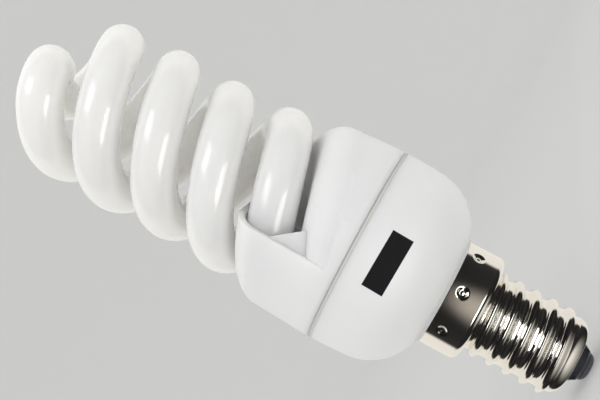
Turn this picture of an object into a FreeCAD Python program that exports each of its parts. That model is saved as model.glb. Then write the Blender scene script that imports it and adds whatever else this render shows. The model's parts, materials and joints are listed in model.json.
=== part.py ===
import FreeCAD, Part
import math
import os

# Spiral energy saving lamp with an E14 screw cap, in millimetres.
# +Z runs along the lamp's axis from the cap to the tip of the spiral.
# The origin is at the end of the centre contact. Azimuths are degrees from -Y towards +X.

os.makedirs("parts", exist_ok=True)
Vec = FreeCAD.Vector
ORIGIN = Vec(0, 0, 0)
UP = Vec(0, 0, 1)

# Glass tube: two helical legs joined at the tip by an S-shaped bridge across the axis
tube_radius = 3.6
leg_turn = 787.5            # turn of a leg from the tip to the mouth of its sleeve
leg_hidden_turn = 75.0      # turn of a leg inside its sleeve
bridge_turn = 70.0          # turn over which a leg winds out from the axis
tip_rounding = 14.0         # turn over which the winding dies out at the tip
tip_lift = 0.9              # how far the bridge stands up over the winding
lift_turn = 55.0            # turn over which the bridge rises
coil_taper = 0.6            # how much narrower the coil is at the tip
coil_lean = 0.24            # how far the middle of a leg stands aside of the axis
path_step = 8.0             # turn between two points of the centreline

# Cover: two helical ramps, each ending in a sleeve over a leg of the tube
cover_wall = 1.0
sleeve_gap = 0.55           # between the tube and the sleeve over it
ramp_gap = 1.35             # between a ramp and the leg above it
side_gap = 0.2              # between the tube and the cover's outer wall
mouth_azimuth = -19.0       # where the front sleeve opens
mouth_lip = 5.0             # turn by which the skin stands out past the end wall
mouth_wall = 5.5            # turn taken up by the end wall round the tube
mouth_gap = 0.3             # between the tube and the hole in the end wall
ramp_start_rise = 2.25      # height of a ramp's start, at the tube's centre, over the seam
hub_clearance = 0.75        # between a sleeve's bore and the hub's wall
hub_drop = 5.0              # how far the hub's top lies under the top of the sleeves
saddle_angle = 20.0         # how far under the tube's middle the end wall stops
ledge = 0.3                 # inside step between a sleeve and the space under the tube
cement_turn = 16.0
cement_film = 0.02          # between the cement and the sleeve
overrun = 2.0               # turn by which a cut runs past its end

# Housing: a drafted wall that rounds into the bowl over the cap
housing_radius = 16.3       # at the seam
housing_height = 15.1       # from the cap's skirt to the seam
housing_wall = 1.4
wall_draft = 2.8            # degrees, each way from the seam
bowl_radius = 9.5
collar_height = 0.4         # short upright edge that meets the skirt
collar_overlap = 0.25       # how far the collar stands out past the skirt
neck_length = 4.6
neck_wall = 1.3
neck_gap = 0.05             # between the neck and the skirt round it
seam_gap = 0.5
spigot_length = 3.0         # cover's rim inside the housing
spigot_wall = 1.1
spigot_gap = 0.1
rim_step = 1.3              # height of the cover's thick rim over the seam
rib_count = 6
rib_thickness = 1.2
rib_bearing = 1.6           # how far a rib reaches under the board
rib_height = 6.0

# E14 screw cap, from the contact upwards
contact_radius = 2.3
contact_height = 1.5
eyelet_radius = 0.9
eyelet_height = 1.6
glass_end = 1.05            # height of the glass round the contact
cap_end = 2.85              # height of the shell's lower end
cap_lip_radius = 3.75
curl_height = 1.75          # rounded end of the shell
thread_length = 13.6
thread_pitch = 2.822
thread_major_radius = 6.93
thread_depth = 0.8
thread_root_land = 0.04     # part of the depth lost to the flat between turns
thread_runout = 1.1         # height over which the thread fades at the shell's end
thread_fade = 0.6           # the same under the skirt
thread_start = 175.5        # azimuth where the ridge passes the shell's end
flare_fillet = 0.3          # from the thread out to the skirt's underside
skirt_rounding = 1.2        # from the underside to the skirt
skirt_radius = 8.7
skirt_length = 5.1
cap_wall = 0.3
glass_depth = 3.0           # glass inside the shell
dimple_count = 8
dimple_azimuth = 7.4
dimple_drop = 2.0           # below the skirt's edge
dimple_radius = 1.1
dimple_depth = 0.45
dimple_gap = 0.05

# Ballast on a round board, parts hanging down into the bowl
board_thickness = 1.2
board_gap = 0.4
part_gap = 0.6              # between neighbouring parts
stand_off = 0.4             # between the board and the bodies under it
lead_radius = 0.3
lead_hole_gap = 0.1
lead_stub = 0.8             # soldered end of a lead above the board
electrolytic_radius = 4.0
electrolytic_length = 11.5
choke_core_width = 8.4
choke_core_thickness = 3.6
choke_height = 5.6
choke_leg = 2.2
choke_winding_radius = 3.0
bobbin_flange = 0.5
toroid_radius = 3.2
toroid_bore = 1.7
toroid_height = 2.6
toroid_wire = 0.35
winding_count = 3
winding_arc = 70.0          # part of the ring under one winding
winding_azimuth = 150.0     # of the first winding's middle
transistor_radius = 2.3
transistor_height = 4.6
transistor_flat = 1.3
transistor_pitch = 1.27
film_length = 6.6
film_thickness = 2.6
film_height = 5.2
film_pitch = 5.0
diode_radius = 1.25
diode_length = 4.2
hairpin = 1.75              # distance between the two leads of an upright part
hairpin_bend = 0.84
corner_turn = 33.8          # from the toroid's side to the outer resistors
trigger_azimuth = -30.0     # towards the trigger diode's second lead
resistor_radius = 1.0
resistor_length = 3.6
trigger_radius = 0.85
trigger_length = 3.2
fuse_radius = 1.15
fuse_length = 6.0
pin_side = 0.8
pin_height = 3.2
tube_lead_radius = 0.25
tube_lead_spread = 1.2
tube_lead_reach = 2.4
lead_bend = 1.0
live_drop = 5.0
neutral_height = 5.0        # of the neutral lead's end over the thread's start

# Heights and radii that follow
thread_bottom = cap_end + curl_height
thread_top = thread_bottom + thread_length
underside = thread_top + flare_fillet
skirt_bottom = underside + skirt_rounding
skirt_top = skirt_bottom + skirt_length
seam = skirt_top + housing_height
cover_bottom = seam + seam_gap / 2
housing_top = seam - seam_gap / 2
board_top = cover_bottom - spigot_length
board_bottom = board_top - board_thickness
body_top = board_bottom - stand_off
draft_slope = math.tan(math.radians(wall_draft))
sleeve_inner = tube_radius + sleeve_gap
sleeve_outer = sleeve_inner + cover_wall
coil_lead = 2 * (tube_radius + ramp_gap + sleeve_outer)
mouth_height = seam + ramp_start_rise + coil_lead / 2
ramp_height = mouth_height - coil_lead / 2
cover_top = mouth_height + sleeve_outer
hub_top = cover_top - hub_drop
housing_bore = housing_radius - (seam - board_bottom) * draft_slope - housing_wall
board_radius = housing_bore - board_gap
thread_root_radius = thread_major_radius - thread_depth
thread_core_radius = thread_root_radius + thread_root_land
thread_bore = thread_core_radius - cap_wall
neck_radius = skirt_radius - cap_wall - neck_gap
neck_bore = neck_radius - neck_wall
neck_bottom = skirt_top - neck_length


def cover_radius(height):
    return housing_radius - abs(height - seam) * draft_slope


coil_radius = cover_radius(mouth_height) - cover_wall - side_gap - tube_radius
hub_radius = coil_radius - sleeve_inner - hub_clearance - cover_wall


def polar(radius, azimuth, height):
    turn = math.radians(azimuth)
    return Vec(radius * math.sin(turn), -radius * math.cos(turn), height)


def flat(point):
    return Vec(point[0], 0, point[1])


def outline(start, *steps):
    """Closed wire of (radius, height) points; a pair of points is an arc through the first."""
    edges = []
    here = start
    for step in steps:
        if isinstance(step[0], tuple):
            edges.append(Part.Arc(flat(here), flat(step[0]), flat(step[1])).toShape())
            here = step[1]
        else:
            edges.append(Part.LineSegment(flat(here), flat(step)).toShape())
            here = step
    if here != start:
        edges.append(Part.LineSegment(flat(here), flat(start)).toShape())
    return Part.Wire(edges)


def revolved(start, *steps):
    return Part.Face(outline(start, *steps)).revolve(ORIGIN, UP, 360)


def on_arc(centre, radius, degrees):
    turn = math.radians(degrees)
    return (centre[0] + radius * math.cos(turn), centre[1] + radius * math.sin(turn))


def upright(radius, bottom, top, x=0, y=0):
    return Part.makeCylinder(radius, top - bottom, Vec(x, y, bottom), UP)


def block(width, depth, bottom, top, x=0, y=0):
    return Part.makeBox(width, depth, top - bottom, Vec(x - width / 2, y - depth / 2, bottom))


def half_turned(shape):
    other = shape.copy()
    other.rotate(ORIGIN, UP, 180)
    return other


def rod(points, radius, bend):
    """Round wire along straight runs joined by tangent arcs."""
    edges = []
    here = points[0]
    for before, corner, after in zip(points, points[1:], points[2:]):
        back = (before - corner).normalize()
        onward = (after - corner).normalize()
        half_angle = back.getAngle(onward) / 2
        reach = bend / math.tan(half_angle)
        inward = (back + onward).normalize()
        middle = corner + inward * (bend / math.sin(half_angle) - bend)
        enter = corner + back * reach
        leave = corner + onward * reach
        edges.append(Part.LineSegment(here, enter).toShape())
        edges.append(Part.Arc(enter, middle, leave).toShape())
        here = leave
    edges.append(Part.LineSegment(here, points[-1]).toShape())
    section = Part.Circle(points[0], points[1] - points[0], radius).toShape()
    return Part.Wire(edges).makePipeShell([Part.Wire(section)], True, True)


def save(name, shape):
    shape.removeSplitter().exportStep("parts/" + name + ".step")


# Centreline of the tube. The turn runs from the tip, negative on the second leg.
def tube_point(turn):
    size = abs(turn)
    side = 1 if turn >= 0 else -1
    to_mouth = leg_turn - math.hypot(size, tip_rounding)
    widening = coil_radius - coil_taper * (1 - min(size / leg_turn, 1))
    radius = side * widening * math.sin(math.pi / 2 * min(size / bridge_turn, 1))
    height = mouth_height + coil_lead * to_mouth / 360 + tip_lift * math.exp(-(size / lift_turn) ** 2)
    along = min(max((size - bridge_turn) / (leg_turn - bridge_turn), 0), 1)
    lean = side * coil_lean * math.sin(math.pi * along)
    return polar(radius, mouth_azimuth + to_mouth, height) + Vec(lean, 0, 0)


# The line through both legs is cut at the tip, where its bend changes side; one half makes the other
leg_end = leg_turn + leg_hidden_turn
half_steps = math.ceil(leg_end / path_step)
path = Part.BSplineCurve()
path.interpolate([tube_point(leg_end * step / half_steps) for step in range(-half_steps, half_steps + 1)])
path.segment((path.FirstParameter + path.LastParameter) / 2, path.LastParameter)
tube_section = Part.Circle(path.StartPoint, path.tangent(path.FirstParameter)[0], tube_radius)
leg = Part.Wire(path.toShape()).makePipeShell([Part.Wire(tube_section.toShape())], True, False)
spiral_tube = leg.fuse(half_turned(leg))
save("spiral_tube", spiral_tube)


# A section carried up the screw line of the coil, its height counted from the tube's centre
def screw(section, azimuth, turn):
    line = Part.makeHelix(coil_lead, coil_lead * turn / 360, coil_radius)
    solid = Part.Wire(line).makePipeShell([section], True, True)
    solid.rotate(ORIGIN, UP, azimuth - 90)
    rise = coil_lead * (azimuth - mouth_azimuth) / 360
    solid.translate(Vec(0, 0, ramp_height + rise))
    return solid


headroom = cover_top + cover_wall
above = headroom - ramp_height + coil_lead
below = seam - mouth_height
far = housing_radius + sleeve_outer
bore_edge = hub_radius + cover_wall
hug = tube_radius + mouth_gap
sleeve_edge = coil_radius + sleeve_inner
hug_left = on_arc((coil_radius, 0), hug, 180 + saddle_angle)
hug_right = on_arc((coil_radius, 0), hug, -saddle_angle)

# Sections: the space over a ramp, the inside of a sleeve with a saddle under the tube,
# and the open space under the tube
over_ramp = outline(
    (hub_radius / 4, sleeve_outer), (coil_radius, sleeve_outer),
    (on_arc((coil_radius, 0), sleeve_outer, 45), (coil_radius + sleeve_outer, 0)),
    (far, 0), (far, above), (hub_radius / 4, above))
in_sleeve = outline(
    (bore_edge, hug_left[1]), hug_left, (on_arc((coil_radius, 0), hug, -90), hug_right),
    (sleeve_edge, hug_right[1]), (sleeve_edge, 0),
    (on_arc((coil_radius, 0), sleeve_inner, 45), (coil_radius, sleeve_inner)), (bore_edge, sleeve_inner))
under_tube = outline(
    (bore_edge + ledge, below), (sleeve_edge - ledge, below),
    (sleeve_edge - ledge, tube_radius / 2), (bore_edge + ledge, tube_radius / 2))

# Outer form: a drafted drum with the space over each ramp cut away, and a round hub in the middle
cover = revolved(
    (0, cover_bottom), (cover_radius(cover_bottom), cover_bottom), (cover_radius(headroom), headroom),
    (0, headroom))
ramp_space = screw(over_ramp, mouth_azimuth, 180 + overrun)
cover = cover.cut(ramp_space).cut(half_turned(ramp_space))
cover = cover.cut(upright(hub_radius, hub_top, headroom)).fuse(upright(hub_radius, cover_bottom, hub_top))

# Inner form: a sleeve from each ramp's start to its mouth, open below up to the end wall.
# At the mouth the skin stands out past that wall, over the start of the other ramp.
rim_top = cover_bottom + rim_step
inside = revolved(
    (0, rim_top), (cover_radius(rim_top) - cover_wall, rim_top),
    (cover_radius(headroom) - cover_wall, headroom), (0, headroom))
wall_from = 180 - mouth_lip - mouth_wall
sleeve = screw(in_sleeve, mouth_azimuth + mouth_wall, 180 - mouth_wall + overrun).common(inside)
trough = screw(under_tube, mouth_azimuth + mouth_wall, wall_from - mouth_wall).common(inside)
lip_space = screw(under_tube, mouth_azimuth + 180 - mouth_lip, mouth_lip + overrun).common(inside)
lip_floor = screw(over_ramp, mouth_azimuth - mouth_lip, mouth_lip + 2 * overrun)
lip_space = lip_space.common(half_turned(lip_floor))
for hollow in (sleeve, trough, lip_space):
    cover = cover.cut(hollow).cut(half_turned(hollow))
bowl = revolved(
    (0, rim_top), (cover_radius(rim_top) - cover_wall, rim_top),
    (cover_radius(ramp_height) - cover_wall, ramp_height), (0, ramp_height))
cover = cover.cut(bowl).cut(upright(hub_radius - cover_wall, rim_top, hub_top - cover_wall))

# Rim: a thick ring over the seam and a spigot that goes into the housing
spigot_radius = housing_bore - spigot_gap
spigot_bore = spigot_radius - spigot_wall
rim = revolved(
    (spigot_bore, board_top), (spigot_radius, board_top), (spigot_radius, cover_bottom),
    (cover_radius(cover_bottom), cover_bottom), (cover_radius(rim_top), rim_top), (spigot_bore, rim_top))
cover = cover.cut(upright(spigot_bore, board_top, rim_top)).fuse(rim)
save("top_cover", cover)

# Cement between each leg and its sleeve, just inside the end wall
bed = sleeve_inner - cement_film
cement_section = outline(
    (coil_radius - bed, 0), (coil_radius + bed, 0), ((coil_radius, bed), (coil_radius - bed, 0)))
cement = screw(cement_section, mouth_azimuth + wall_from - cement_turn, cement_turn).common(inside)
cement = cement.cut(spiral_tube)
save("tube_cement_1", cement)
save("tube_cement_2", half_turned(cement))


# Lower housing. The bowl's arc touches the drafted wall and ends on the collar.
collar_radius = skirt_radius + collar_overlap
collar_top = skirt_top + collar_height
slant = math.radians(wall_draft)
fit_r = collar_radius - housing_radius + seam * draft_slope + bowl_radius * math.cos(slant)
fit_z = collar_top - bowl_radius * math.sin(slant)
fit_a = draft_slope ** 2 + 1
fit_b = fit_r * draft_slope + fit_z
fit_c = fit_r ** 2 + fit_z ** 2 - bowl_radius ** 2
bowl_touch = (fit_b + math.sqrt(fit_b ** 2 - fit_a * fit_c)) / fit_a
bowl_centre = (cover_radius(bowl_touch) - bowl_radius * math.cos(slant),
               bowl_touch + bowl_radius * math.sin(slant))


def bowl_form(inset):
    """Bowl's outline moved in by a wall, as the points of its arc from the collar up."""
    size = bowl_radius - inset
    foot = max(collar_radius - inset, bowl_centre[0])
    low = -math.degrees(math.acos((foot - bowl_centre[0]) / size))
    return [on_arc(bowl_centre, size, turn) for turn in (low, (low - wall_draft) / 2, -wall_draft)]


foot, belly, touch = bowl_form(0)
housing = revolved(
    (0, neck_bottom), (neck_radius, neck_bottom), (neck_radius, skirt_top), (collar_radius, skirt_top),
    foot, (belly, touch), (cover_radius(housing_top), housing_top), (0, housing_top))
inner_foot, inner_belly, inner_touch = bowl_form(housing_wall)
inner_form = revolved(
    (0, neck_bottom), (neck_bore, neck_bottom), (neck_bore, inner_foot[1]), inner_foot,
    (inner_belly, inner_touch), (housing_bore, board_bottom), (housing_bore, housing_top), (0, housing_top))
rib_foot, rib_belly, rib_touch = bowl_form(housing_wall / 2)
rib_form = revolved(
    (0, rib_foot[1]), rib_foot, (rib_belly, rib_touch),
    (housing_bore + housing_wall / 2, board_bottom), (0, board_bottom))
housing = housing.cut(inner_form)
rib_inner = board_radius - rib_bearing
rib_depth = housing_radius - rib_inner
for index in range(rib_count):
    rib = Part.makeBox(rib_depth, rib_thickness, rib_height,
                       Vec(rib_inner, -rib_thickness / 2, board_bottom - rib_height))
    rib.rotate(ORIGIN, UP, 360 / rib_count * (index + 0.5))
    housing = housing.fuse(rib.common(rib_form))


# Crimp dimples: the skirt's sheet is pressed into pits in the neck
def dimple_balls(radius):
    reach = skirt_radius + dimple_radius - dimple_depth
    balls = []
    for index in range(dimple_count):
        centre = polar(reach, dimple_azimuth + 360 / dimple_count * index, skirt_top - dimple_drop)
        balls.append(Part.makeSphere(radius, centre))
    return balls


housing = housing.cut(dimple_balls(dimple_radius + cap_wall + dimple_gap))
save("lower_housing", housing)

# Cap shell: rounded end, threaded barrel, flare and skirt in one thin sheet
curl = curl_height - cap_wall
end_centre = (thread_core_radius - curl_height, thread_bottom)
skirt_bore = skirt_radius - cap_wall
flare_centre = (thread_core_radius + flare_fillet, thread_top)
round_centre = (skirt_radius - skirt_rounding, skirt_bottom)
shell = revolved(
    (cap_lip_radius, cap_end), (end_centre[0], cap_end),
    (on_arc(end_centre, curl_height, -45), (thread_core_radius, thread_bottom)),
    (thread_core_radius, thread_top),
    (on_arc(flare_centre, flare_fillet, 135), (flare_centre[0], underside)),
    (round_centre[0], underside),
    (on_arc(round_centre, skirt_rounding, -45), (skirt_radius, skirt_bottom)),
    (skirt_radius, skirt_top), (skirt_bore, skirt_top), (skirt_bore, skirt_bottom),
    (on_arc(round_centre, skirt_rounding - cap_wall, -45), (round_centre[0], underside + cap_wall)),
    (flare_centre[0], underside + cap_wall),
    (on_arc(flare_centre, flare_fillet + cap_wall, 135), (thread_bore, thread_top)),
    (thread_bore, thread_bottom),
    (on_arc(end_centre, curl, -45), (end_centre[0], cap_end + cap_wall)),
    (cap_lip_radius, cap_end + cap_wall))

# Round thread: crest and root are arcs of one radius that meet half way up the flank
knuckle = ((thread_pitch / 4) ** 2 + (thread_depth / 2) ** 2) / thread_depth
ridge_low = thread_root_radius + thread_root_land / 2
land_half = math.sqrt(knuckle ** 2 - (thread_root_radius + knuckle - ridge_low) ** 2)
ridge_half = thread_pitch / 2 - land_half
flank = thread_root_radius + thread_depth / 2
root_up = (thread_root_radius + knuckle, thread_pitch / 2)
root_turn = math.degrees(math.atan2(thread_pitch / 4, knuckle - thread_depth / 2))
land_turn = math.degrees(math.asin(land_half / knuckle))
fillet_up = on_arc(root_up, knuckle, 180 + (root_turn + land_turn) / 2)
fillet_down = (fillet_up[0], -fillet_up[1])
ridge_foot = thread_core_radius - cap_wall / 2
ridge_section = outline(
    (ridge_foot, -ridge_half), (ridge_low, -ridge_half),
    (fillet_down, (flank, -thread_pitch / 4)),
    ((thread_major_radius, 0), (flank, thread_pitch / 4)),
    (fillet_up, (ridge_low, ridge_half)), (ridge_foot, ridge_half))
ridge_line = Part.makeHelix(thread_pitch, thread_length + 2 * thread_pitch, thread_core_radius)
ridge = Part.Wire(ridge_line).makePipeShell([ridge_section], True, True)
ridge.rotate(ORIGIN, UP, thread_start - 90)
ridge.translate(Vec(0, 0, thread_bottom - thread_pitch))
fade_radius = thread_major_radius + thread_depth
fade = revolved(
    (0, thread_bottom), (thread_root_radius, thread_bottom),
    (fade_radius, thread_bottom + thread_runout), (fade_radius, thread_top - thread_fade),
    (thread_root_radius, thread_top), (0, thread_top))
shell = shell.fuse(ridge.common(fade))
dents = Part.makeCompound(dimple_balls(dimple_radius + cap_wall))
dents = dents.common(upright(skirt_bore + cap_wall / 2, skirt_bottom, skirt_top))
shell = shell.fuse(dents.Solids).cut(dimple_balls(dimple_radius))
save("cap_shell", shell)

# Glass insulator, fused into the shell's end, and the contact riveted through it
glass_top = cap_end + cap_wall + glass_depth
glass_seat = contact_height
insulator = revolved(
    (eyelet_radius, glass_seat), (contact_radius, glass_seat), (contact_radius, glass_end),
    (contact_radius + cap_wall, glass_end), (cap_lip_radius, cap_end), (cap_lip_radius, cap_end + cap_wall),
    (end_centre[0], cap_end + cap_wall),
    (on_arc(end_centre, curl, -45), (thread_bore, thread_bottom)),
    (thread_bore, glass_top), (eyelet_radius, glass_top))
save("cap_insulator", insulator)
contact_flat = contact_radius - glass_end
contact = revolved(
    (0, 0), (contact_flat, 0),
    (on_arc((contact_flat, glass_end), glass_end, -45), (contact_radius, glass_end)),
    (contact_radius, glass_seat), (eyelet_radius, glass_seat),
    (eyelet_radius, glass_seat + eyelet_height), (0, glass_seat + eyelet_height))
save("centre_contact", contact)


# Ballast. Every part hangs from the board by leads that go up through it.
lead_holes = []


def lead(x, y, bottom):
    lead_holes.append((x, y))
    return upright(lead_radius, bottom, board_top + lead_stub, x, y)


def upright_part(name, x, y, azimuth, radius, length):
    """Small round part on end: one lead straight up, the other bent back up beside it."""
    bottom = body_top - length
    out = polar(hairpin, azimuth, 0)
    low = bottom - hairpin / 2 - lead_radius
    rise = Vec(x + out.x, y + out.y, board_top + lead_stub)
    run = [Vec(x, y, bottom), Vec(x, y, low), Vec(rise.x, rise.y, low), rise]
    lead_holes.append((rise.x, rise.y))
    body = upright(radius, bottom, body_top, x, y)
    back = rod(run, lead_radius, hairpin_bend)
    save(name, body.fuse([lead(x, y, body_top), back]))


# Electrolytic capacitor on the axis, reaching down into the neck
bead = electrolytic_radius / 12
can_bottom = body_top - electrolytic_length
can = revolved(
    (0, can_bottom), (electrolytic_radius - bead, can_bottom),
    (on_arc((electrolytic_radius - bead, can_bottom + bead), bead, -45),
     (electrolytic_radius, can_bottom + bead)),
    (electrolytic_radius, body_top - 4 * bead), (electrolytic_radius - bead, body_top - 3 * bead),
    (electrolytic_radius, body_top - 2 * bead), (electrolytic_radius, body_top), (0, body_top))
can_leads = [lead(0, side * electrolytic_radius / 2, body_top) for side in (-1, 1)]
save("electrolytic_capacitor", can.fuse(can_leads))

# Choke: a ferrite frame round a wound bobbin, on the right of the capacitor
choke_x = electrolytic_radius + part_gap + choke_winding_radius
choke_bottom = body_top - choke_height
bar = choke_leg / 2
window = choke_core_width - 2 * bar
core = block(choke_core_thickness, choke_core_width, choke_bottom, body_top, choke_x)
core = core.cut(block(choke_core_thickness, window, choke_bottom + bar, body_top - bar, choke_x))
core = core.fuse(upright(choke_leg / 2, choke_bottom + bar, body_top - bar, choke_x))
save("choke_core", core)
spool_low = choke_bottom + bar
spool_high = body_top - bar
spool = upright(choke_winding_radius, spool_low, spool_high, choke_x)
spool = spool.cut(upright(choke_leg / 2, spool_low, spool_high, choke_x))
barrel = choke_leg / 2 + bobbin_flange
wound = upright(choke_winding_radius - bobbin_flange / 2, spool_low + bobbin_flange,
                spool_high - bobbin_flange, choke_x)
wound = wound.cut(upright(barrel, spool_low, spool_high, choke_x))
groove = upright(choke_winding_radius, spool_low + bobbin_flange, spool_high - bobbin_flange, choke_x)
spool = spool.cut(groove.cut(upright(barrel, spool_low, spool_high, choke_x)))
peg = choke_winding_radius - 2 * lead_radius
pegs = [lead(choke_x + side * peg, 0, spool_high) for side in (-1, 1)]
save("choke_bobbin", spool.fuse(pegs))
save("choke_winding", wound)

# Feedback toroid lying under the board, with three windings
toroid_x = -(electrolytic_radius + part_gap + toroid_radius + toroid_wire)
toroid_top = body_top - toroid_wire
toroid_bottom = toroid_top - toroid_height
wire_bottom = toroid_bottom - toroid_wire
ring = upright(toroid_radius, toroid_bottom, toroid_top, toroid_x)
ring = ring.cut(upright(toroid_bore, toroid_bottom, toroid_top, toroid_x))
save("feedback_toroid", ring)
sheath = upright(toroid_radius + toroid_wire, wire_bottom, body_top, toroid_x)
sheath = sheath.cut(upright(toroid_bore - toroid_wire, wire_bottom, body_top, toroid_x)).cut(ring)
for index in range(winding_count):
    middle = winding_azimuth + 360 / winding_count * index
    wedge = Part.makeCylinder(
        2 * toroid_radius, body_top - wire_bottom, Vec(0, 0, wire_bottom), UP, winding_arc)
    wedge.rotate(ORIGIN, UP, middle - 90 - winding_arc / 2)
    wedge.translate(Vec(toroid_x, 0, 0))
    tail = polar(toroid_radius + toroid_wire / 2, middle, 0)
    tail = lead(toroid_x + tail.x, tail.y, body_top - toroid_wire / 2)
    save("toroid_winding_%d" % (index + 1), sheath.common(wedge).fuse(tail))

# Film capacitors in front of and behind the capacitor
film_y = electrolytic_radius + part_gap + 2 * fuse_radius + part_gap + film_thickness / 2
for name, side in (("resonant_capacitor", -1), ("blocking_capacitor", 1)):
    case = block(film_length, film_thickness, body_top - film_height, body_top, 0, side * film_y)
    case = case.makeFillet(film_thickness / 5, [e for e in case.Edges if abs(e.tangentAt(0).z) > 0.5])
    legs = [lead(end * film_pitch / 2, side * film_y, body_top) for end in (-1, 1)]
    save(name, case.fuse(legs))

# Switching transistors, flat sides towards the choke
transistor_y = choke_core_width / 2 + part_gap + transistor_flat + transistor_pitch / 2
for index, side in enumerate((-1, 1)):
    x = film_length / 2 + part_gap + transistor_radius
    y = side * transistor_y
    case = upright(transistor_radius, body_top - transistor_height, body_top, x, y)
    face = y - side * transistor_flat
    cut = block(3 * transistor_radius, 2 * transistor_radius, body_top - transistor_height, body_top,
                x, face - side * transistor_radius)
    legs = [lead(x + step * transistor_pitch, y, body_top) for step in (-1, 0, 1)]
    save("transistor_%d" % (index + 1), case.cut(cut).fuse(legs))

# Small upright parts between the others
fuse_y = -(electrolytic_radius + part_gap / 2 + fuse_radius)
small_x = fuse_radius + part_gap + resistor_radius
diode_x = -(film_length / 2 + part_gap + diode_radius)
corner_ring = rib_inner - part_gap - resistor_radius
for index, side in enumerate((-1, 1)):
    near_y = side * (film_y - film_thickness)
    far_y = near_y + side * (2 * diode_radius + part_gap)
    inwards = 90 - side * 90
    corner = polar(corner_ring, 270 - side * corner_turn, 0)
    pair = 2 * index + 1
    upright_part("rectifier_diode_%d" % pair, diode_x, near_y, 270 - side * 45, diode_radius, diode_length)
    upright_part("rectifier_diode_%d" % (pair + 1), diode_x, far_y, 270, diode_radius, diode_length)
    upright_part("resistor_%d" % pair, corner.x, corner.y, inwards, resistor_radius, resistor_length)
    upright_part("resistor_%d" % (pair + 1), small_x, -side * fuse_y, 90 - side * 45,
                 resistor_radius, resistor_length)
upright_part("trigger_diode", -small_x, -fuse_y, trigger_azimuth, trigger_radius, trigger_length)

# Wrap pins on top of the board, under the two ends of the tube, and the leads that come down to them
pin_top = board_top + pin_height
end_point = tube_point(leg_end)
end_run = (end_point - tube_point(leg_end - path_step / 100)).normalize()
end_side = Vec(end_point.x, end_point.y, 0).normalize()
pins = []
wires = []
for side in (-1, 1):
    start = end_point + end_side * (side * tube_lead_spread)
    corner = start + end_run * tube_lead_reach
    pin = block(pin_side, pin_side, board_bottom - stand_off / 2, pin_top, corner.x, corner.y)
    wire = rod([start, corner, Vec(corner.x, corner.y, pin_top)], tube_lead_radius, lead_bend)
    pins += [pin, half_turned(pin)]
    wires += [wire, half_turned(wire)]
for index in range(4):
    save("wrap_pin_%d" % (index + 1), pins[index])
    save("tube_lead_%d" % (index + 1), wires[index])

# Fuse resistor in the neck, the live lead down to the contact and the neutral lead to the shell
fuse_top = neck_bottom + fuse_length
fuse = upright(fuse_radius, neck_bottom, fuse_top, 0, fuse_y)
fuse_tail = neck_bottom - lead_stub
fuse = fuse.fuse([lead(0, fuse_y, fuse_top), upright(lead_radius, fuse_tail, neck_bottom, 0, fuse_y)])
save("fuse_resistor", fuse)
contact_top = glass_seat + eyelet_height
live = rod([Vec(0, fuse_y, fuse_tail), Vec(0, fuse_y, fuse_tail - live_drop),
            Vec(0, 0, contact_top + live_drop), Vec(0, 0, contact_top)], lead_radius, lead_bend)
save("live_lead", live)
neutral_y = -fuse_y
neutral_end = thread_bottom + neutral_height
neutral = rod([Vec(0, neutral_y, board_top + lead_stub), Vec(0, neutral_y, neutral_end + lead_bend * 2),
               Vec(0, thread_bore - lead_radius, neutral_end + lead_bend),
               Vec(0, thread_bore - lead_radius, neutral_end)], lead_radius, lead_bend)
lead_holes.append((0, neutral_y))
save("neutral_lead", neutral)

# Board, drilled for every lead and slotted for the wrap pins
board = upright(board_radius, board_bottom, board_top)
holes = [upright(lead_radius + lead_hole_gap, board_bottom, board_top, x, y) for x, y in lead_holes]
board = board.cut(holes + pins)
save("circuit_board", board)
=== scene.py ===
import bmesh
import bpy
import json
import math
import numpy as np
from mathutils import Matrix, Vector


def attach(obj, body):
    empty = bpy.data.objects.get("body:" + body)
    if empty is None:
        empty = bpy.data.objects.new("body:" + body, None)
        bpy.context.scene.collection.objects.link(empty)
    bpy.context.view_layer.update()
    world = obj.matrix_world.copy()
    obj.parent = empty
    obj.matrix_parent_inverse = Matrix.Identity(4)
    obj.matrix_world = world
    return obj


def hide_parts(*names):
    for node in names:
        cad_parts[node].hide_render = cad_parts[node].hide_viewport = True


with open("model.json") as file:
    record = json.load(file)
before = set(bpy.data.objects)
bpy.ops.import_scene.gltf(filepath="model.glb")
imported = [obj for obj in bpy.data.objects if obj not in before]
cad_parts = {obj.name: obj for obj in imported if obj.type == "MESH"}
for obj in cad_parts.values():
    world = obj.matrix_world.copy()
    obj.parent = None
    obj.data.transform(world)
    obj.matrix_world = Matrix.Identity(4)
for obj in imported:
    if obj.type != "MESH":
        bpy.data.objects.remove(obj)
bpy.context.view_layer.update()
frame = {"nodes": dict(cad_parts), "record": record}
nodes = frame["nodes"]
mm = 0.001
poleMerge = 1e-7  # m, closes the poles and seams of a grid
print("frame loaded,", len(nodes), "nodes")


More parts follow.
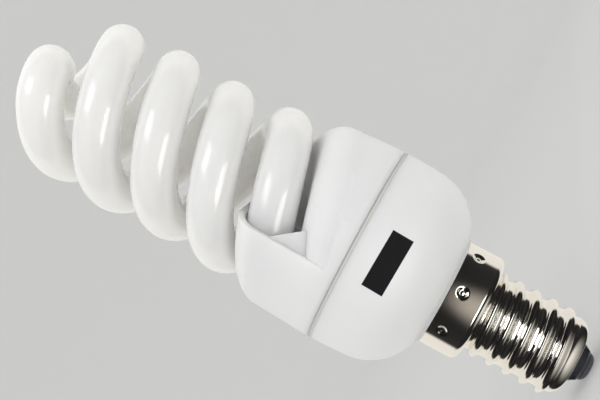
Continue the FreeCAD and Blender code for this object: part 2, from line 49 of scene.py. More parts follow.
# Puts rows of points into a smooth mesh of quads. A ring grid joins its last column to its first.
# Rows that shrink to one point are merged, so poles and seams are closed.
def gridPiece(name, points, ring=True):
    rows, columns = points.shape[:2]
    index = np.arange(rows * columns).reshape(rows, columns)
    onward = np.roll(index, -1, axis=1)
    if not ring:
        index, onward = index[:, :-1], index[:, 1:]
    quads = np.stack([index[:-1], onward[:-1], onward[1:], index[1:]], axis=-1).reshape(-1, 4)
    mesh = bpy.data.meshes.new(name)
    mesh.vertices.add(rows * columns)
    mesh.vertices.foreach_set("co", points.reshape(-1).astype(np.float32))
    mesh.loops.add(quads.size)
    mesh.loops.foreach_set("vertex_index", quads.reshape(-1).astype(np.int32))
    mesh.polygons.add(len(quads))
    mesh.polygons.foreach_set("loop_start", np.arange(0, quads.size, 4, dtype=np.int32))
    mesh.update(calc_edges=True)
    mesh.validate()
    work = bmesh.new()
    work.from_mesh(mesh)
    bmesh.ops.remove_doubles(work, verts=work.verts, dist=poleMerge)
    bmesh.ops.recalc_face_normals(work, faces=work.faces)
    work.to_mesh(mesh)
    work.free()
    setSmooth(mesh, True)
    piece = bpy.data.objects.new(name, mesh)
    bpy.context.scene.collection.objects.link(piece)
    return piece


def setSmooth(mesh, smooth):
    mesh.polygons.foreach_set("use_smooth", np.full(len(mesh.polygons), smooth, dtype=bool))


# A profile of (radius, height) points turned about the lamp's axis
def turnedPiece(name, profile, columns):
    turn = np.linspace(0, 2 * math.pi, columns, endpoint=False)
    radius, height = profile[:, :1], profile[:, 1:]
    points = np.stack([radius * np.cos(turn), radius * np.sin(turn), height + 0 * turn], axis=-1)
    return gridPiece(name, points * mm)


# Points on an arc, from one angle to another in degrees
def arcPoints(centre, radius, first, last, count):
    turn = np.radians(np.linspace(first, last, count))
    return np.stack([centre[0] + radius * np.cos(turn), centre[1] + radius * np.sin(turn)], axis=-1)


# Points along a straight stretch of a profile, without its last one
def runPoints(start, end, count):
    share = np.linspace(0, 1, count, endpoint=False)[:, None]
    return np.array(start) * (1 - share) + np.array(end) * share


# Attaches a piece to the root body, hides the nodes it stands for and gives it the slot's finish
def dress(piece, slotName, *replaced):
    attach(piece, "root")
    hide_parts(*replaced)
    piece.data.materials.clear()
    piece.data.materials.append(finishes[slotName])


def addNode(tree, kind, **fields):
    node = tree.nodes.new("ShaderNode" + kind)
    for field, value in fields.items():
        setattr(node, field, value)
    return node


def setInputs(node, values):
    for label, value in values.items():
        node.inputs[label].default_value = value


# Mix node for values or colours: its share, first and second inputs, and its output
def addMix(tree, kind, **fields):
    node = addNode(tree, "Mix", data_type=kind, **fields)
    first, out = {"FLOAT": (2, 0), "RGBA": (6, 2)}[kind]
    return node.inputs[0], node.inputs[first], node.inputs[first + 1], node.outputs[out]


# Shader groups shared by the finishes
def newGroup(name, inputs, outputs):
    group = bpy.data.node_groups.new(name, "ShaderNodeTree")
    for label, kind, value in inputs:
        socket = group.interface.new_socket(label, in_out="INPUT", socket_type="NodeSocket" + kind)
        socket.default_value = value
    for label, kind in outputs:
        group.interface.new_socket(label, in_out="OUTPUT", socket_type="NodeSocket" + kind)
    return group, group.nodes.new("NodeGroupInput"), group.nodes.new("NodeGroupOutput")


# Cloudy change of tone: the colour is multiplied by a tint, in a share that follows slow noise
def makeToneDrift():
    group, given, made = newGroup(
        "toneDrift",
        [("Colour", "Color", (1, 1, 1, 1)), ("Scale", "Float", 60.0),
         ("Amount", "Float", 0.05), ("Tint", "Color", (1, 1, 1, 1))],
        [("Colour", "Color")])
    link = group.links.new
    place = addNode(group, "TexCoord")
    noise = addNode(group, "TexNoise")
    noise.inputs["Detail"].default_value = 3.0
    amount = addNode(group, "Math", operation="MULTIPLY")
    share, plain, tint, mixed = addMix(group, "RGBA", blend_type="MULTIPLY")
    link(place.outputs["Object"], noise.inputs["Vector"])
    link(given.outputs["Scale"], noise.inputs["Scale"])
    link(noise.outputs["Fac"], amount.inputs[0])
    link(given.outputs["Amount"], amount.inputs[1])
    link(amount.outputs[0], share)
    link(given.outputs["Colour"], plain)
    link(given.outputs["Tint"], tint)
    link(mixed, made.inputs["Colour"])
    return group


# Fine grain: small noise as a height, and a roughness that follows it
def makeFineGrain():
    group, given, made = newGroup(
        "fineGrain",
        [("Scale", "Float", 5000.0), ("Roughness", "Float", 0.5),
         ("Spread", "Float", 0.08), ("Stretch", "Vector", (1, 1, 1))],
        [("Height", "Float"), ("Roughness", "Float")])
    link = group.links.new
    place = addNode(group, "TexCoord")
    pull = addNode(group, "VectorMath", operation="MULTIPLY")
    noise = addNode(group, "TexNoise")
    noise.inputs["Detail"].default_value = 2.0
    centred = addNode(group, "Math", operation="SUBTRACT")
    centred.inputs[1].default_value = 0.5  # the middle of the noise
    rough = addNode(group, "Math", operation="MULTIPLY_ADD")
    link(place.outputs["Object"], pull.inputs[0])
    link(given.outputs["Stretch"], pull.inputs[1])
    link(pull.outputs[0], noise.inputs["Vector"])
    link(given.outputs["Scale"], noise.inputs["Scale"])
    link(noise.outputs["Fac"], centred.inputs[0])
    link(centred.outputs[0], rough.inputs[0])
    link(given.outputs["Spread"], rough.inputs[1])
    link(given.outputs["Roughness"], rough.inputs[2])
    link(noise.outputs["Fac"], made.inputs["Height"])
    link(rough.outputs[0], made.inputs["Roughness"])
    return group


# Patch mask: 1 inside a rectangle of X and Z on the front, turned a little, with soft edges, 0 elsewhere
def makePatchMask():
    group, given, made = newGroup(
        "patchMask",
        [("Centre", "Vector", (0, 0, 0)), ("Turn", "Float", 0.0), ("Half Width", "Float", 0.004),
         ("Half Height", "Float", 0.002), ("Edge", "Float", 0.0001)],
        [("Mask", "Float")])
    link = group.links.new
    place = addNode(group, "TexCoord")
    shift = addNode(group, "VectorMath", operation="SUBTRACT")
    turned = addNode(group, "VectorRotate", rotation_type="Y_AXIS")
    parts = addNode(group, "SeparateXYZ")
    front = addNode(group, "Math", operation="LESS_THAN")
    front.inputs[1].default_value = 0.0
    link(place.outputs["Object"], shift.inputs[0])
    link(given.outputs["Centre"], shift.inputs[1])
    link(shift.outputs[0], turned.inputs["Vector"])
    link(given.outputs["Turn"], turned.inputs["Angle"])
    link(turned.outputs[0], parts.inputs[0])
    link(parts.outputs["Y"], front.inputs[0])
    mask = front.outputs[0]
    for axis, half in (("X", "Half Width"), ("Z", "Half Height")):
        size = addNode(group, "Math", operation="ABSOLUTE")
        inside = addNode(group, "Math", operation="SUBTRACT")
        soft = addNode(group, "Math", operation="DIVIDE", use_clamp=True)
        both = addNode(group, "Math", operation="MULTIPLY")
        link(parts.outputs[axis], size.inputs[0])
        link(given.outputs[half], inside.inputs[0])
        link(size.outputs[0], inside.inputs[1])
        link(inside.outputs[0], soft.inputs[0])
        link(given.outputs["Edge"], soft.inputs[1])
        link(soft.outputs[0], both.inputs[0])
        link(mask, both.inputs[1])
        mask = both.outputs[0]
    link(mask, made.inputs["Mask"])
    return group


toneDrift = makeToneDrift()
fineGrain = makeFineGrain()
patchMask = makePatchMask()
finishes = {}

# Drift is the share of the tint, grain the scale of the fine noise, and bump its strength. Edge rounds the
# corners and depth is how far light goes in, both in mm. Through is the share of light that goes in.
finishValues = {
    # Seen pieces
    "tube_glass": dict(
        colour=(0.90, 0.89, 0.872), tint=(0.98, 0.975, 0.945), drift=0.6, driftScale=45,
        rough=0.32, spread=0.06, grain=900, bump=0.02, coat=1.0, coatRough=0.10, depth=14.0, through=1.0),
    "housing_plastic": dict(
        colour=(0.88, 0.88, 0.88), tint=(0.97, 0.97, 0.972), drift=0.6, driftScale=70,
        rough=0.48, spread=0.12, grain=5200, bump=0.35, edge=0.4, depth=3.0, through=0.6),
    "cap_nickel": dict(
        colour=(0.91, 0.89, 0.85), tint=(0.93, 0.88, 0.82), drift=0.7, driftScale=160,
        rough=0.09, spread=0.06, grain=700, bump=0.03, stretch=(1, 1, 9), metallic=1.0),
    "insulator_glass": dict(
        colour=(0.035, 0.037, 0.045), tint=(0.7, 0.7, 0.8), drift=0.8, driftScale=300,
        rough=0.12, spread=0.06, grain=2500, bump=0.05, coat=0.6),
    "contact_metal": dict(
        colour=(0.17, 0.17, 0.19), tint=(0.8, 0.8, 0.82), drift=0.8, driftScale=500,
        rough=0.22, spread=0.16, grain=3000, bump=0.15, metallic=1.0),
    # Sealed ballast
    "cement": dict(
        colour=(0.74, 0.73, 0.69), tint=(0.85, 0.83, 0.78), drift=0.8, driftScale=500,
        rough=0.85, spread=0.1, grain=4000, bump=0.6),
    "board_laminate": dict(
        colour=(0.30, 0.19, 0.07), tint=(0.75, 0.7, 0.6), drift=0.9, driftScale=700,
        rough=0.55, spread=0.12, grain=2600, bump=0.3, stretch=(6, 1, 1)),
    "capacitor_sleeve": dict(
        colour=(0.010, 0.012, 0.03), tint=(0.6, 0.65, 0.8), drift=0.8, driftScale=400,
        rough=0.28, spread=0.08, grain=1500, bump=0.1),
    "ferrite": dict(
        colour=(0.022, 0.022, 0.024), tint=(0.6, 0.6, 0.65), drift=0.9, driftScale=900,
        rough=0.6, spread=0.2, grain=5000, bump=0.5),
    "bobbin_plastic": dict(
        colour=(0.52, 0.49, 0.40), tint=(0.9, 0.88, 0.8), drift=0.7, driftScale=500,
        rough=0.5, spread=0.1, grain=4000, bump=0.2),
    "enamel_copper": dict(
        colour=(0.36, 0.11, 0.035), tint=(0.8, 0.65, 0.5), drift=0.9, driftScale=900,
        rough=0.25, spread=0.12, grain=2500, bump=0.8, stretch=(1, 1, 3), metallic=1.0, coat=0.5),
    "black_epoxy": dict(
        colour=(0.008, 0.008, 0.009), tint=(0.7, 0.7, 0.7), drift=0.9, driftScale=800,
        rough=0.5, spread=0.15, grain=5000, bump=0.4),
    "film_case": dict(
        colour=(0.17, 0.018, 0.010), tint=(0.75, 0.6, 0.55), drift=0.8, driftScale=500,
        rough=0.3, spread=0.1, grain=2500, bump=0.15),
    "resistor_coat": dict(
        colour=(0.34, 0.22, 0.10), tint=(0.85, 0.75, 0.65), drift=0.8, driftScale=900,
        rough=0.45, spread=0.1, grain=3000, bump=0.3),
    "diode_glass": dict(
        colour=(0.03, 0.06, 0.16), tint=(0.7, 0.75, 0.9), drift=0.8, driftScale=900,
        rough=0.15, spread=0.06, grain=2500, bump=0.05, coat=0.6),
    "tinned_wire": dict(
        colour=(0.58, 0.58, 0.57), tint=(0.8, 0.8, 0.78), drift=0.8, driftScale=900,
        rough=0.3, spread=0.12, grain=3000, bump=0.2, metallic=1.0),
}
grainHeight = 0.02  # mm
edgeSamples = 4
depthByColour = (1.0, 0.97, 0.88)  # red, green and blue light go in this far


# A finish: drifting colour and grained roughness on one Principled shader
def makeFinish(slotName, colour, tint, drift, driftScale, rough, spread, grain, bump, stretch=(1, 1, 1),
               metallic=0.0, coat=0.0, coatRough=0.03, edge=0.0, depth=0.0, through=0.0):
    material = bpy.data.materials.new(slotName)
    material.use_nodes = True
    tree = material.node_tree
    link = tree.links.new
    shader = tree.nodes["Principled BSDF"]
    tone = addNode(tree, "Group", node_tree=toneDrift)
    setInputs(tone, {"Colour": (*colour, 1), "Tint": (*tint, 1), "Amount": drift, "Scale": driftScale})
    fine = addNode(tree, "Group", node_tree=fineGrain)
    setInputs(fine, {"Scale": grain, "Roughness": rough, "Spread": spread, "Stretch": stretch})
    relief = addNode(tree, "Bump")
    setInputs(relief, {"Strength": bump, "Distance": grainHeight * mm})
    if edge:
        rounded = addNode(tree, "Bevel", samples=edgeSamples)
        setInputs(rounded, {"Radius": edge * mm})
        link(rounded.outputs["Normal"], relief.inputs["Normal"])
    setInputs(shader, {
        "Subsurface Weight": through, "Subsurface Scale": depth * mm, "Subsurface Radius": depthByColour,
        "Metallic": metallic, "Coat Weight": coat, "Coat Roughness": coatRough})
    link(tone.outputs["Colour"], shader.inputs["Base Color"])
    link(fine.outputs["Roughness"], shader.inputs["Roughness"])
    link(fine.outputs["Height"], relief.inputs["Height"])
    link(relief.outputs["Normal"], shader.inputs["Normal"])
    finishes[slotName] = material
    return material


for slotName, values in finishValues.items():
    makeFinish(slotName, **values)

# Black printed panel on the front of the lower housing, left blank
panel = {
    "across": -0.13, "height": 34.5, "turn": -2.3, "halfWidth": 4.51, "halfHeight": 1.7, "edge": 0.06,
    "colour": (0.006, 0.0056, 0.0075), "rough": 0.95,
}


# Lays the panel's colour and roughness over those of a finish, inside the patch mask
def printPanel(material):
    tree = material.node_tree
    link = tree.links.new
    shader = tree.nodes["Principled BSDF"]
    mask = addNode(tree, "Group", node_tree=patchMask)
    setInputs(mask, {
        "Centre": (panel["across"] * mm, 0, panel["height"] * mm), "Turn": math.radians(panel["turn"]),
        "Half Width": panel["halfWidth"] * mm, "Half Height": panel["halfHeight"] * mm,
        "Edge": panel["edge"] * mm})
    for label, kind, printed in (("Base Color", "RGBA", (*panel["colour"], 1)),
                                 ("Roughness", "FLOAT", panel["rough"])):
        share, plain, ink, mixed = addMix(tree, kind)
        ink.default_value = printed
        link(mask.outputs["Mask"], share)
        link(shader.inputs[label].links[0].from_socket, plain)
        link(mixed, shader.inputs[label])


printPanel(finishes["housing_plastic"])
for entry in frame["record"]["subparts"]:
    nodes[entry["node"]].data.materials.clear()
    nodes[entry["node"]].data.materials.append(finishes[entry["material_slot"]])
print("finishes made,", len(finishes))

# Glass tube. Its line winds from the end of one leg up to the tip, across the axis and down the other leg.
coil = {
    "tubeRadius": 3.6, "radius": 10.896, "taper": 0.6, "lean": 0.24, "lead": 20.2,
    "legTurn": 787.5, "hiddenTurn": 75.0, "bridgeTurn": 70.0, "tipRounding": 14.0,
    "tipLift": 0.9, "liftTurn": 55.0, "mouthAzimuth": -19.0, "mouthHeight": 52.25,
    "rows": 1300, "columns": 64,
}


# Centre of the tube: radius grows as a sine over the bridge and then as the taper lets it, height falls
# with the turn, a bell lifts the bridge, and a half sine leans each leg to its own side
def tubeLine(turn):
    size = np.abs(turn)
    toMouth = coil["legTurn"] - np.hypot(size, coil["tipRounding"])
    widening = coil["radius"] - coil["taper"] * (1 - np.minimum(size / coil["legTurn"], 1))
    radius = np.sign(turn) * widening * np.sin(math.pi / 2 * np.minimum(size / coil["bridgeTurn"], 1))
    azimuth = np.radians(coil["mouthAzimuth"] + toMouth)
    lift = coil["tipLift"] * np.exp(-(size / coil["liftTurn"]) ** 2)
    height = coil["mouthHeight"] + coil["lead"] * toMouth / 360 + lift
    along = np.clip((size - coil["bridgeTurn"]) / (coil["legTurn"] - coil["bridgeTurn"]), 0, 1)
    lean = np.sign(turn) * coil["lean"] * np.sin(math.pi * along)
    return np.stack([radius * np.sin(azimuth) + lean, -radius * np.cos(azimuth), height], axis=-1)


# Tube: at each point of the line, a circle across it, set by the level direction beside the line
def makeTube():
    reach = coil["legTurn"] + coil["hiddenTurn"]
    turn = np.linspace(-reach, reach, coil["rows"])
    centre = tubeLine(turn)
    along = np.gradient(centre, axis=0)
    along /= np.linalg.norm(along, axis=1, keepdims=True)
    beside = np.cross(along, (0, 0, 1))
    beside /= np.linalg.norm(beside, axis=1, keepdims=True)
    above = np.cross(beside, along)
    lap = np.linspace(0, 2 * math.pi, coil["columns"], endpoint=False)[:, None]
    ring = beside[:, None] * np.cos(lap) + above[:, None] * np.sin(lap)
    wall = centre[:, None] + ring * coil["tubeRadius"]
    first, last = (np.broadcast_to(centre[end], (1, coil["columns"], 3)) for end in (0, -1))
    tube = gridPiece("glassTube", np.concatenate([first, wall, last]) * mm)
    dress(tube, "tube_glass", "spiral_tube")


makeTube()
print("tube made")

# Screw cap: rolled end, round thread, step and skirt in one profile, with crimp marks in the skirt
cap = {
    "lipRadius": 3.75, "end": 2.85, "curl": 1.75, "core": 6.17, "threadTop": 18.2, "pitch": 2.822,
    "major": 6.93, "depth": 0.8, "threadStart": 175.5, "runout": 1.1, "fade": 0.6, "fillet": 0.3,
    "rounding": 1.2, "skirtRadius": 8.7, "skirtBottom": 19.7, "skirtTop": 24.8, "wall": 0.3,
    "rim": 0.08, "turnedIn": 1.0, "coreSlack": 0.01, "skirtSlack": 0.001,
    "marks": 8, "markAzimuth": 7.4, "markDrop": 2.0, "markRadius": 0.98, "markDepth": 0.42,
    "markPower": 1.5, "knobShare": 0.55, "knobRadius": 0.3,
    "threadRows": 150, "skirtRows": 44, "columns": 360,
}


# Thread height over the core: crest and root are arcs of one radius, so the wave is two arcs a pitch.
# It fades in a slope at both ends.
def threadRise(turn, height):
    bottom = cap["end"] + cap["curl"]
    root = cap["major"] - cap["depth"]
    knuckle = ((cap["pitch"] / 4) ** 2 + (cap["depth"] / 2) ** 2) / cap["depth"]
    phase = (height - bottom) / cap["pitch"] - turn / (2 * math.pi) + (cap["threadStart"] - 90) / 360
    away = np.abs(phase - np.round(phase)) * cap["pitch"]
    crest = cap["major"] - knuckle + np.sqrt(np.maximum(knuckle ** 2 - away ** 2, 0))
    valley = root + knuckle - np.sqrt(np.maximum(knuckle ** 2 - (cap["pitch"] / 2 - away) ** 2, 0))
    wave = np.where(away < cap["pitch"] / 4, crest, valley)
    edge = np.minimum((height - bottom) / cap["runout"], (cap["threadTop"] - height) / cap["fade"])
    wave = np.minimum(wave, root + 2 * cap["depth"] * np.maximum(edge, 0))
    return np.maximum(wave, cap["core"]) - cap["core"]


# Crimp mark: a round dent with a small knob left in its middle, as a depth below the skirt
def markDent(turn, height):
    step = 2 * math.pi / cap["marks"]
    first = math.radians(cap["markAzimuth"] - 90)
    aside = (turn - first + step / 2) % step - step / 2
    distance = np.hypot(aside * cap["skirtRadius"], height - cap["skirtTop"] + cap["markDrop"])
    share = np.clip(distance / cap["markRadius"], 0, 1)
    dent = (1 - share ** 2) ** cap["markPower"]
    knob = cap["knobShare"] * np.exp(-(distance / cap["knobRadius"]) ** 2)
    return cap["markDepth"] * np.maximum(dent - knob, 0)


# The profile is turned about the axis, the thread's height is added on the core, and the dents are taken
# from the skirt
def makeCap():
    lip, core, end, curl = cap["lipRadius"], cap["core"], cap["end"], cap["curl"]
    skirt, top, rim = cap["skirtRadius"], cap["skirtTop"], cap["rim"]
    bottom = end + curl
    bore = skirt - cap["wall"]
    profile = np.concatenate([
        runPoints((lip, end + cap["wall"]), (lip, end), 3),
        runPoints((lip, end), (core - curl, end), 3),
        arcPoints((core - curl, bottom), curl, -90, 0, 14)[:-1],
        runPoints((core, bottom), (core, cap["threadTop"]), cap["threadRows"]),
        arcPoints((core + cap["fillet"], cap["threadTop"]), cap["fillet"], 180, 90, 8),
        arcPoints((skirt - cap["rounding"], cap["skirtBottom"]), cap["rounding"], -90, 0, 18)[:-1],
        runPoints((skirt, cap["skirtBottom"]), (skirt, top - rim), cap["skirtRows"]),
        arcPoints((skirt - rim, top - rim), rim, 0, 90, 4),
        runPoints((bore, top), (bore, top - cap["turnedIn"]), 3)])
    turn = np.linspace(0, 2 * math.pi, cap["columns"], endpoint=False)
    height = profile[:, 1:] + 0 * turn
    radius = profile[:, :1] + 0 * turn
    onThread = (height > bottom) & (height < cap["threadTop"]) & (radius < core + cap["coreSlack"])
    radius = radius + np.where(onThread, threadRise(turn, height), 0)
    onSkirt = radius > skirt - cap["skirtSlack"]
    radius = radius - np.where(onSkirt, markDent(turn, height), 0)
    points = np.stack([radius * np.cos(turn), radius * np.sin(turn), height], axis=-1)
    dress(gridPiece("screwCap", points * mm), "cap_nickel", "cap_shell")


makeCap()
print("cap made")

# Glass round the contact, and the contact's rounded button. Places are (radius, height).
capEnd = {
    "glassInner": (1.9, 1.35), "glassFace": (2.4, 1.07), "bead": (2.4, 1.27), "beadRadius": 0.2,
    "glassCone": (2.59, 1.19), "glassTuck": (3.73, 3.15),
    "contactRadius": 2.3, "rounding": 1.05, "seat": 1.5, "columns": 128,
}


# Two turned profiles: the glass is a cone with a rounded bead at the contact, the button a flat disc with
# a quarter circle round it
def makeCapEnd():
    lip = (cap["lipRadius"], cap["end"])
    glass = np.concatenate([
        runPoints(capEnd["glassInner"], capEnd["glassFace"], 4),
        arcPoints(capEnd["bead"], capEnd["beadRadius"], -90, -30, 5),
        runPoints(capEnd["glassCone"], lip, 8),
        runPoints(lip, capEnd["glassTuck"], 3)])
    dress(turnedPiece("capGlass", glass, capEnd["columns"]), "insulator_glass", "cap_insulator")
    radius, rounding, seat = capEnd["contactRadius"], capEnd["rounding"], capEnd["seat"]
    flat = radius - rounding
    button = np.concatenate([
        runPoints((0, 0), (flat, 0), 5),
        arcPoints((flat, rounding), rounding, -90, 0, 20),
        runPoints((radius, rounding), (radius, seat), 3),
        np.array([[radius, seat], [0, seat]])])
    dress(turnedPiece("contactButton", button, capEnd["columns"]), "contact_metal", "centre_contact")


makeCapEnd()
print("cap end made")

moulding = {"merge": 0.02, "sharpAngle": 28}


# Smooth copy of a moulded node: doubles merged, edges sharper than the given angle kept
def smoothCopy(name, node, slotName):
    piece = bpy.data.objects.new(name, nodes[node].data.copy())
    bpy.context.scene.collection.objects.link(piece)
    work = bmesh.new()
    work.from_mesh(piece.data)
    bmesh.ops.remove_doubles(work, verts=work.verts, dist=moulding["merge"] * mm)
    work.to_mesh(piece.data)
    work.free()
    setSmooth(piece.data, True)
    piece.data.set_sharp_from_angle(angle=math.radians(moulding["sharpAngle"]))
    dress(piece, slotName, node)


smoothCopy("upperHousing", "top_cover", "housing_plastic")
smoothCopy("lowerHousing", "lower_housing", "housing_plastic")

# Floor of the groove between the two halves, in a darker grey than the plastic: painted shade of the groove
seam = {"height": 39.9, "halfGap": 0.3, "radius": 16.2, "rows": 5, "columns": 192}
# Painted shade: a darker plastic colour for the groove's floor, standing in for the shadow inside the
# groove
paintedGrooveShade = dict(
    colour=(0.60, 0.60, 0.585), tint=(0.95, 0.95, 0.94), drift=0.6, driftScale=70,
    rough=0.6, spread=0.1, grain=5200, bump=0.3)


# A straight upright line turned about the axis
def makeGroove():
    low, high = seam["height"] - seam["halfGap"], seam["height"] + seam["halfGap"]
    band = runPoints((seam["radius"], low), (seam["radius"], high), seam["rows"])
    groove = turnedPiece("seamBand", band, seam["columns"])
    dress(groove, "housing_plastic")
    # The band takes the painted shade colour in place of the plain plastic
    groove.data.materials[0] = makeFinish("paintedGrooveShade", **paintedGrooveShade)


makeGroove()

# Web in the corner of each tube mouth: (azimuth, height, radius) at the top and foot of the sleeve's lip
# and at the far end on the ramp
web = {
    "top": (-21.0, 52.0, 15.3), "foot": (-21.0, 44.9, 15.2), "far": (-6.0, 46.8, 14.2),
    "dip": 0.2, "wall": 0.5, "rows": 17,
}


# A triangle spread from the lip's line to the far corner, sunk by a parabola between its edges
def makeWeb(name, halfTurn):
    share = np.linspace(0, 1, web["rows"])
    down, out = share[None, :, None], share[:, None, None]
    lip = np.array(web["top"]) * (1 - down) + np.array(web["foot"]) * down
    spread = lip * (1 - out) + np.array(web["far"]) * out
    azimuth = np.radians(spread[..., 0] + halfTurn)
    radius = spread[..., 2] - web["dip"] * (4 * out * (1 - out) * (1 - down))[..., 0]
    points = np.stack([radius * np.sin(azimuth), -radius * np.cos(azimuth), spread[..., 1]], axis=-1)
    piece = gridPiece(name, points * mm, ring=False)
    if sum(face.normal.dot(face.center) for face in piece.data.polygons) < 0:  # faces point inwards
        piece.data.flip_normals()
    thick = piece.modifiers.new("wall", "SOLIDIFY")
    thick.thickness = web["wall"] * mm
    thick.offset = -1
    dress(piece, "housing_plastic")


makeWeb("mouthWeb1", 0)
makeWeb("mouthWeb2", 180)
print("housing made")

# Camera at the photograph's angle, for an image of 600 by 400
view = {
    "imageWidth": 600, "focalPixels": 1000, "distance": 158.143, "tilt": 6.245, "roll": 0.63,
    "lean": 28.8, "aim": (1.894, 0.888), "middle": 50.5, "sensor": 36, "clipStart": 10,
}


# Tilt looks up at the lamp, roll turns it in the image, and lean lays it over from upright
def makeCamera():
    tilt, roll, lean = (math.radians(view[key]) for key in ("tilt", "roll", "lean"))
    forward = Vector((0, math.cos(tilt), math.sin(tilt)))
    rise = Vector((0, -math.sin(tilt), math.cos(tilt)))
    level = Vector((1, 0, 0))
    across = level * math.cos(roll) - rise * math.sin(roll)
    upward = level * math.sin(roll) + rise * math.cos(roll)
    right = across * math.sin(lean) - upward * math.cos(lean)
    up = across * math.cos(lean) + upward * math.sin(lean)
    spot = Vector((0, 0, view["middle"])) + across * view["aim"][0] + upward * view["aim"][1]
    spot -= forward * view["distance"]
    camera = bpy.data.objects.new("camera", bpy.data.cameras.new("camera"))
    camera.data.sensor_width = view["sensor"]
    camera.data.lens = view["sensor"] * view["focalPixels"] / view["imageWidth"]
    camera.data.clip_start = view["clipStart"] * mm
    turned = Matrix((right, up, -forward)).transposed().to_4x4()
    camera.matrix_world = Matrix.Translation(spot * mm) @ turned
    bpy.context.scene.collection.objects.link(camera)
    bpy.context.scene.camera = camera


makeCamera()
print("camera set")

# Round pale sweep: floor, bend and wall
sweepPaper = {
    "floorRadius": 900, "bend": 500, "wallTop": 950, "columns": 96,
    "paper": (0.88, 0.88, 0.87), "tint": (0.96, 0.96, 0.96), "driftScale": 3.0, "rough": 0.9,
    "shown": (0.48, 0.485, 0.48), "shownShare": 0.6,
}


# A turned profile of two straight stretches and a quarter circle. For the camera, metal and glass most of
# the paper's tone is even, the rest takes light and shadow.
def makeSweep():
    floor, bend = sweepPaper["floorRadius"], sweepPaper["bend"]
    wall = floor + bend
    profile = np.concatenate([
        runPoints((0, 0), (floor, 0), 12),
        arcPoints((floor, bend), bend, -90, 0, 24),
        runPoints((wall, bend + 1), (wall, sweepPaper["wallTop"]), 4)])
    sweep = turnedPiece("studioSweep", profile, sweepPaper["columns"])
    sweep.data.flip_normals()
    material = bpy.data.materials.new("sweepPaper")
    material.use_nodes = True
    tree = material.node_tree
    link = tree.links.new
    shader = tree.nodes["Principled BSDF"]
    shader.inputs["Roughness"].default_value = sweepPaper["rough"]
    tone = addNode(tree, "Group", node_tree=toneDrift)
    setInputs(tone, {
        "Colour": (*sweepPaper["paper"], 1), "Tint": (*sweepPaper["tint"], 1),
        "Scale": sweepPaper["driftScale"]})
    even = addNode(tree, "Emission")
    even.inputs["Color"].default_value = (*sweepPaper["shown"], 1)
    path = addNode(tree, "LightPath")
    blend = addNode(tree, "MixShader")
    share = addNode(tree, "Math", operation="MULTIPLY")
    share.inputs[1].default_value = sweepPaper["shownShare"]
    seen = path.outputs["Is Camera Ray"]
    for kind in ("Is Glossy Ray", "Is Transmission Ray"):
        either = addNode(tree, "Math", operation="MAXIMUM")
        link(seen, either.inputs[0])
        link(path.outputs[kind], either.inputs[1])
        seen = either.outputs[0]
    link(seen, share.inputs[0])
    link(tone.outputs["Colour"], shader.inputs["Base Color"])
    link(share.outputs[0], blend.inputs[0])
    link(shader.outputs[0], blend.inputs[1])
    link(even.outputs[0], blend.inputs[2])
    link(blend.outputs[0], tree.nodes["Material Output"].inputs["Surface"])
    sweep.data.materials.append(material)


# Leaves a piece of the studio to reflections alone
def onlyReflected(piece):
    piece.visible_camera = False
    piece.visible_diffuse = False
    piece.visible_shadow = False


# Part of a drum round the lamp: black on the camera's side, with dim glows on its floor, pale at the sides,
# and open behind the lamp, where metal and glass show the paper. A glow is a place, a radius and a colour.
# The pale part fades in between two sines of the angle behind the lamp's side.
darkRoom = {
    "radius": 900, "inner": 3, "floor": 0.5, "top": 1200, "reach": 160, "columns": 96,
    "cloth": (0.006, 0.006, 0.007), "rough": 0.9,
    "glows": (((0, -230, 0), 200, (0.46, 0.42, 0.37)), ((0, -14, 0), 15, (0.9, 0.88, 0.82))),
    "pale": (0.84, 0.82, 0.77), "paleFrom": 0.105, "paleTo": 0.31,
}


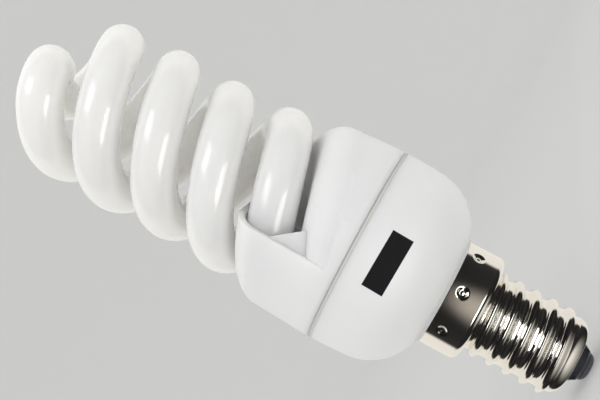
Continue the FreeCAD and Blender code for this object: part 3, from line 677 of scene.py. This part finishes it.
# A profile of floor, wall and top, turned through the reach to both sides of the camera
def makeRoom():
    radius, inner, low, high = (darkRoom[key] for key in ("radius", "inner", "floor", "top"))
    profile = np.array([(inner, low), (radius, low), (radius, high), (inner, high)], dtype=float)
    turn = np.radians(np.linspace(-darkRoom["reach"], darkRoom["reach"], darkRoom["columns"]))
    out, height = profile[:, :1], profile[:, 1:]
    points = np.stack([out * np.sin(turn), -out * np.cos(turn), height + 0 * turn], axis=-1)
    room = gridPiece("darkRoom", points * mm, ring=False)
    setSmooth(room.data, False)
    material = bpy.data.materials.new("darkCloth")
    material.use_nodes = True
    tree = material.node_tree
    link = tree.links.new
    shader = tree.nodes["Principled BSDF"]
    setInputs(shader, {
        "Base Color": (*darkRoom["cloth"], 1), "Roughness": darkRoom["rough"], "Emission Strength": 1.0})
    place = addNode(tree, "TexCoord")
    layers = []
    for spot, width, colour in darkRoom["glows"]:
        away = addNode(tree, "VectorMath", operation="DISTANCE")
        away.inputs[1].default_value = [value * mm for value in spot]
        fall = addNode(tree, "MapRange", interpolation_type="SMOOTHERSTEP")
        setInputs(fall, {"From Min": width * mm, "From Max": 0.0})
        link(place.outputs["Object"], away.inputs[0])
        link(away.outputs["Value"], fall.inputs["Value"])
        layers.append((fall.outputs["Result"], colour))
    level = addNode(tree, "VectorMath", operation="MULTIPLY")
    level.inputs[1].default_value = (1, 1, 0)
    unit = addNode(tree, "VectorMath", operation="NORMALIZE")
    parts = addNode(tree, "SeparateXYZ")
    aside = addNode(tree, "MapRange", interpolation_type="SMOOTHERSTEP")
    setInputs(aside, {"From Min": darkRoom["paleFrom"], "From Max": darkRoom["paleTo"]})
    link(place.outputs["Object"], level.inputs[0])
    link(level.outputs[0], unit.inputs[0])
    link(unit.outputs[0], parts.inputs[0])
    link(parts.outputs["Y"], aside.inputs["Value"])
    layers.append((aside.outputs["Result"], darkRoom["pale"]))
    below = None
    for strength, colour in layers:
        share, under, over, mixed = addMix(tree, "RGBA")
        under.default_value = (0, 0, 0, 1)
        over.default_value = (*colour, 1)
        link(strength, share)
        if below:
            link(below, under)
        below = mixed
    link(below, shader.inputs["Emission Color"])
    room.data.materials.append(material)
    onlyReflected(room)


# Card on the floor in front of the lamp, for the second row of highlights on the glass
floorCard = {"halfWidth": 36, "near": 52, "far": 102, "lift": 0.8, "shine": 3.5, "rows": 3}


# A flat grid of X and Y
def makeCard():
    across = np.linspace(-floorCard["halfWidth"], floorCard["halfWidth"], floorCard["rows"])
    deep = np.linspace(-floorCard["far"], -floorCard["near"], floorCard["rows"])[:, None]
    flat = 0 * deep + 0 * across
    points = np.stack([across + flat, deep + flat, floorCard["lift"] + flat], axis=-1)
    card = gridPiece("floorCard", points * mm, ring=False)
    material = bpy.data.materials.new("cardShine")
    material.use_nodes = True
    setInputs(material.node_tree.nodes["Principled BSDF"], {
        "Emission Color": (1, 1, 1, 1), "Emission Strength": floorCard["shine"]})
    card.data.materials.append(material)
    onlyReflected(card)


# Soft box above the camera, and the even light of the world
lighting = {
    "distance": 620, "width": 300, "height": 340, "elevation": 47, "power": 0.9,
    "world": (1.0, 0.995, 0.985), "worldStrength": 0.95,
}


def makeLights():
    lift = math.radians(lighting["elevation"])
    away = Vector((0, -math.cos(lift), math.sin(lift)))
    spot = Vector((0, 0, view["middle"])) + away * lighting["distance"]
    lamp = bpy.data.lights.new("softBox", "AREA")
    lamp.shape = "RECTANGLE"
    lamp.size = lighting["width"] * mm
    lamp.size_y = lighting["height"] * mm
    lamp.energy = lighting["power"]
    box = bpy.data.objects.new("softBox", lamp)
    facing = away.to_track_quat("Z", "Y").to_matrix().to_4x4()
    box.matrix_world = Matrix.Translation(spot * mm) @ facing
    box.visible_camera = False
    bpy.context.scene.collection.objects.link(box)
    world = bpy.data.worlds.new("studioWorld")
    world.use_nodes = True
    setInputs(world.node_tree.nodes["Background"], {
        "Color": (*lighting["world"], 1), "Strength": lighting["worldStrength"]})
    bpy.context.scene.world = world


makeSweep()
makeRoom()
makeCard()
makeLights()
bpy.context.scene.view_settings.view_transform = "Standard"
print("studio set")
